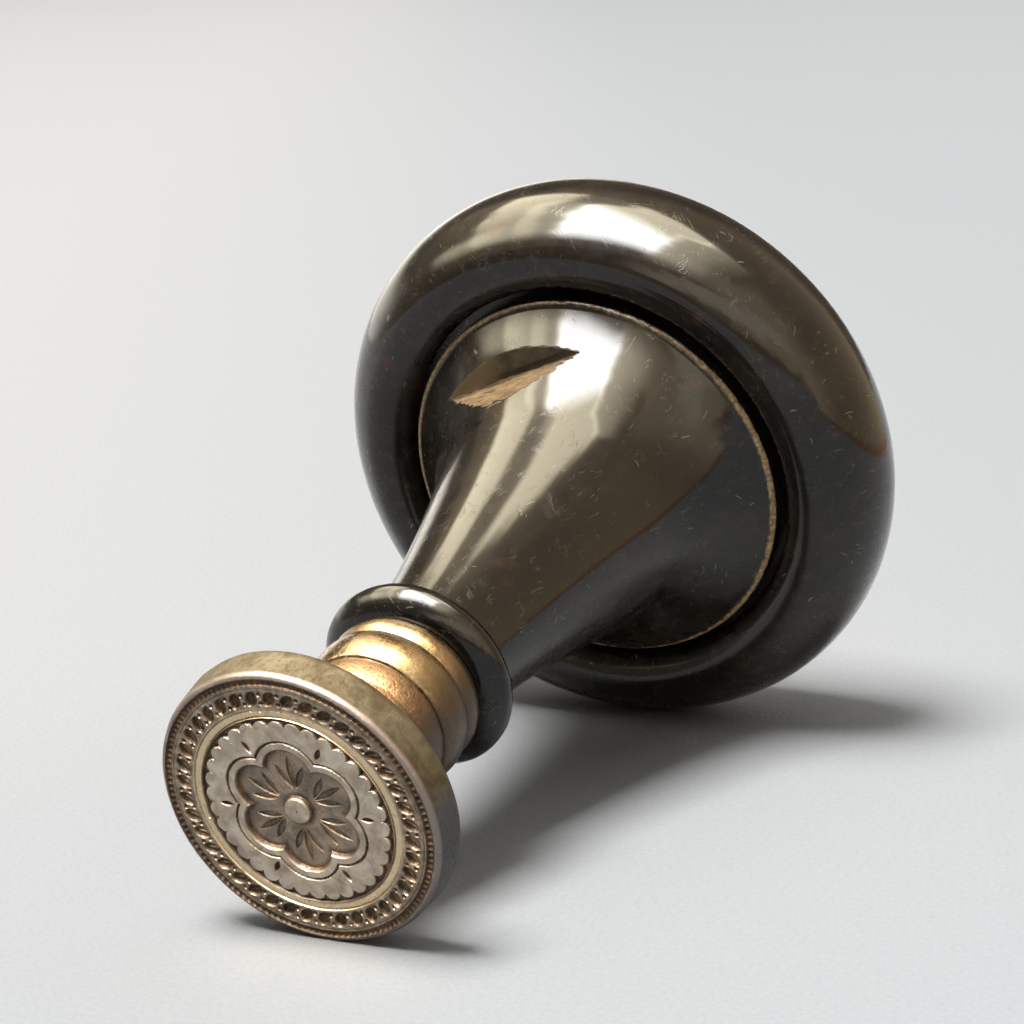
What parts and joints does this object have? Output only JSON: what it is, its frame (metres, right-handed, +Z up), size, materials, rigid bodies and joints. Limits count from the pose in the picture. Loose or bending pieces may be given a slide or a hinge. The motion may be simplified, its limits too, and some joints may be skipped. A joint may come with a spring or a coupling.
{
  "type": "desk seal",
  "caption": "Hand seal for wax, lying on its side: ring-shaped palm head, trumpet stem and collar in polished black, gilt turned neck and round engraved matrix that unscrews from the handle.",
  "frame": {"origin": "on the desk, under the middle of the lying seal's box", "axes": "+Z up from the desk, +X along the desk from the matrix end to the head end; the seal's own axis leans up towards +X by the angle at which it lies on its front rim and its head"},
  "size_m": [0.1002, 0.073, 0.0714],
  "materials": {
    "matrix_metal": "pale worn metal with dark patina in the cuts",
    "gilt_brass": "gilt, tarnished in the hollows",
    "stud_steel": "dark threaded steel",
    "collar_black": "polished black",
    "handle_black": "polished black-brown with fine scratches",
    "bush_brass": "plain turned brass",
    "wedge_wood": "plain sawn wood"
  },
  "bodies": {
    "matrix": {"seal_matrix": "matrix_metal", "matrix_neck": "gilt_brass", "tang_stud": "stud_steel"},
    "collar": {"collar_ring": "collar_black"},
    "handle": {"stem": "handle_black", "thread_bush": "bush_brass", "head_ring": "handle_black", "tenon_wedge": "wedge_wood", "palm_cap": "handle_black"}
  },
  "joints": [
    {"name": "collar_lift", "type": "slide", "parent": "matrix", "child": "collar", "axis": [0.9704, 0, 0.2417], "range_m": [0, 0.015]},
    {"name": "handle_turn", "type": "hinge", "parent": "collar", "child": "handle", "pos_m": [-0.04627, 0, 0.01584], "axis": [0.9704, 0, 0.2417], "range_deg": [0, 3600]}
  ],
  "couplings": [
    {"joint": "collar_lift", "follows": "handle_turn", "m_per_rad": 0.00023873}
  ]
}
